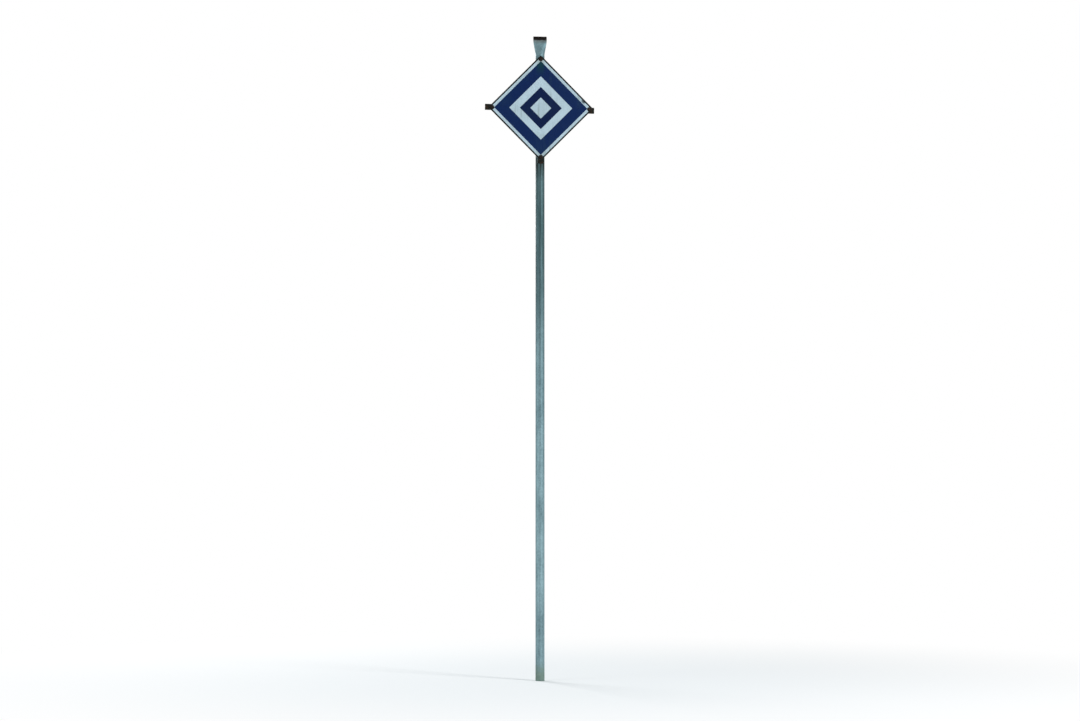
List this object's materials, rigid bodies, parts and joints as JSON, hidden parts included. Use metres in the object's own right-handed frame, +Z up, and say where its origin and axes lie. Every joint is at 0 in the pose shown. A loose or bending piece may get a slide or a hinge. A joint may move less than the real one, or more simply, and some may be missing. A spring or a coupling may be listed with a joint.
{
  "type": "railway stop board for electric trains on a tube mast",
  "caption": "Blue and white diamond board on a tall galvanised tube mast with a flattened top end, bolted at its tips to a cross of flat steel bars.",
  "frame": {"origin": "centre of the mast's cut-off foot, at ground level", "axes": "+Z up the mast, the board faces -Y, +X to the right as seen from in front of the board"},
  "size_m": [0.7366, 0.0922, 4.3],
  "materials": {
    "galvanised_steel": "weathered hot-dip galvanised",
    "weld_bead": "dark rusted weld",
    "bare_aluminium": "dull mill finish",
    "white_reflective_sheet": "weathered reflective sheet",
    "blue_sheet": "weathered reflective sheet",
    "black_sheet": "semi-gloss",
    "dark_flat_steel": "black paint, rusty at its edges",
    "dark_fasteners": "dull black-brown"
  },
  "bodies": {
    "root": {"mast_tube": "galvanised_steel", "top_weld": "weld_bead", "board_plate": "bare_aluminium", "white_sheet": "white_reflective_sheet", "black_rim": "black_sheet", "blue_field": "blue_sheet", "blue_ring": "blue_sheet", "upright_strap": "dark_flat_steel", "crossbar": "dark_flat_steel", "left_front_washer": "dark_fasteners", "left_bolt": "dark_fasteners", "left_back_washer": "dark_fasteners", "left_nut": "dark_fasteners", "right_front_washer": "dark_fasteners", "right_bolt": "dark_fasteners", "right_back_washer": "dark_fasteners", "right_nut": "dark_fasteners", "top_front_washer": "dark_fasteners", "top_bolt": "dark_fasteners", "top_back_washer": "dark_fasteners", "top_nut": "dark_fasteners", "bottom_front_washer": "dark_fasteners", "bottom_bolt": "dark_fasteners", "bottom_back_washer": "dark_fasteners", "bottom_nut": "dark_fasteners"}
  },
  "joints": []
}
